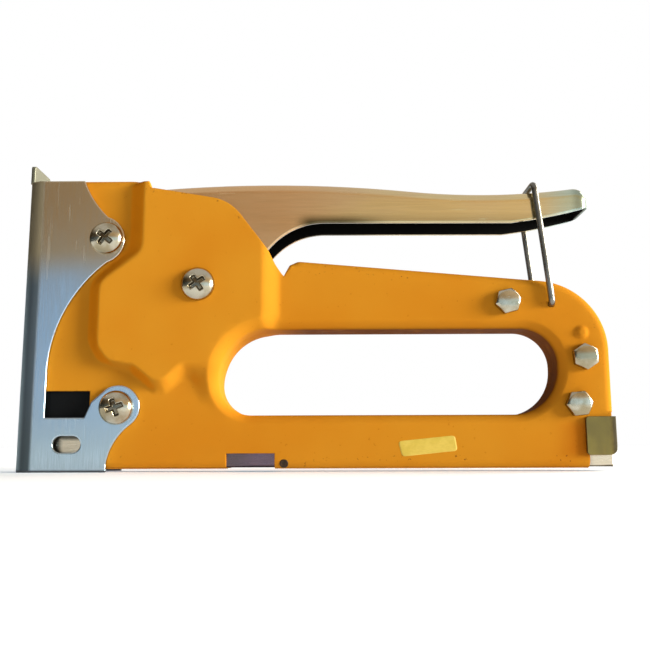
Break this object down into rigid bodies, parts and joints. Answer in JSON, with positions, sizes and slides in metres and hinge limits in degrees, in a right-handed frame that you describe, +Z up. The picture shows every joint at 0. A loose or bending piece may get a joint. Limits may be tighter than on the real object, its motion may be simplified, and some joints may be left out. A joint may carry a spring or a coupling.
{
  "type": "staple tacker",
  "caption": "Hand staple tacker with pressed steel shells, a squeeze handle held down by a wire bail, a plated nose, and a magazine loaded from the rear.",
  "frame": {"origin": "middle of the footprint, on the face that rests on the work", "axes": "+X from the nose to the rear end, +Y to the far side, where the nuts are, +Z up"},
  "size_m": [0.1792, 0.0296, 0.0955],
  "materials": {
    "shell_paint": "gloss orange paint on pressed steel",
    "nose_plating": "zinc plated, satin",
    "handle_plating": "bright nickel plated",
    "screw_steel": "zinc plated",
    "spacer_steel": "plain turned steel",
    "wire_steel": "bright drawn wire",
    "magazine_steel": "plain pressed steel",
    "catch_steel": "dull plated",
    "rod_steel": "bright drawn rod",
    "hard_steel": "hardened, oiled",
    "spring_steel": "oil tempered wire",
    "guide_plastic": "black moulded",
    "bumper_rubber": "matte black"
  },
  "bodies": {
    "base": {"near_shell": "shell_paint", "far_shell": "shell_paint", "nose_channel": "nose_plating", "magazine_channel": "magazine_steel", "staple_rail": "magazine_steel", "guide_block": "guide_plastic", "bumper": "bumper_rubber", "spring_cap": "guide_plastic", "main_spring": "spring_steel", "pivot_sleeve": "spacer_steel", "upper_nose_screw": "screw_steel", "upper_nose_nut": "screw_steel", "lower_nose_screw": "screw_steel", "lower_nose_nut": "screw_steel", "pivot_screw": "screw_steel", "pivot_nut": "screw_steel", "rear_upper_screw": "screw_steel", "rear_upper_nut": "screw_steel", "rear_middle_screw": "screw_steel", "rear_middle_nut": "screw_steel", "rear_lower_screw": "screw_steel", "rear_lower_nut": "screw_steel", "upper_nose_spacer": "spacer_steel", "lower_nose_spacer": "spacer_steel", "rear_upper_spacer": "spacer_steel", "rear_middle_spacer": "spacer_steel", "rear_lower_spacer": "spacer_steel"},
    "handle": {"handle": "handle_plating", "lift_lever": "hard_steel", "lever_rivets": "spacer_steel"},
    "striker": {"striker": "hard_steel", "driver_blade": "hard_steel"},
    "lock_wire": {"lock_wire": "wire_steel"},
    "drawer": {"rear_catch": "catch_steel", "pusher_rod": "rod_steel", "pusher_spring": "spring_steel"},
    "pusher": {"pusher": "guide_plastic"}
  },
  "joints": [
    {"name": "handle_squeeze", "type": "hinge", "parent": "base", "child": "handle", "pos_m": [-0.0352, 0, 0.0559], "axis": [0, 1, 0], "range_deg": [0, 8], "stiffness_Nm_per_rad": 8, "springref_deg": -1.72},
    {"name": "striker_lift", "type": "slide", "parent": "base", "child": "striker", "axis": [0, 0, 1], "range_m": [0, 0.006], "deforming": ["main_spring"]},
    {"name": "lock_wire_swing", "type": "hinge", "parent": "base", "child": "lock_wire", "pos_m": [0.0719, 0, 0.05], "axis": [0, 1, 0], "range_deg": [0, 120]},
    {"name": "drawer_pull", "type": "slide", "parent": "base", "child": "drawer", "axis": [1, 0, 0], "range_m": [0, 0.1]},
    {"name": "pusher_travel", "type": "slide", "parent": "drawer", "child": "pusher", "axis": [1, 0, 0], "range_m": [0, 0.085], "stiffness_N_per_m": 30, "springref_m": -0.03, "deforming": ["pusher_spring"]}
  ],
  "couplings": [
    {"joint": "striker_lift", "follows": "handle_squeeze", "m_per_rad": 0.0413}
  ]
}
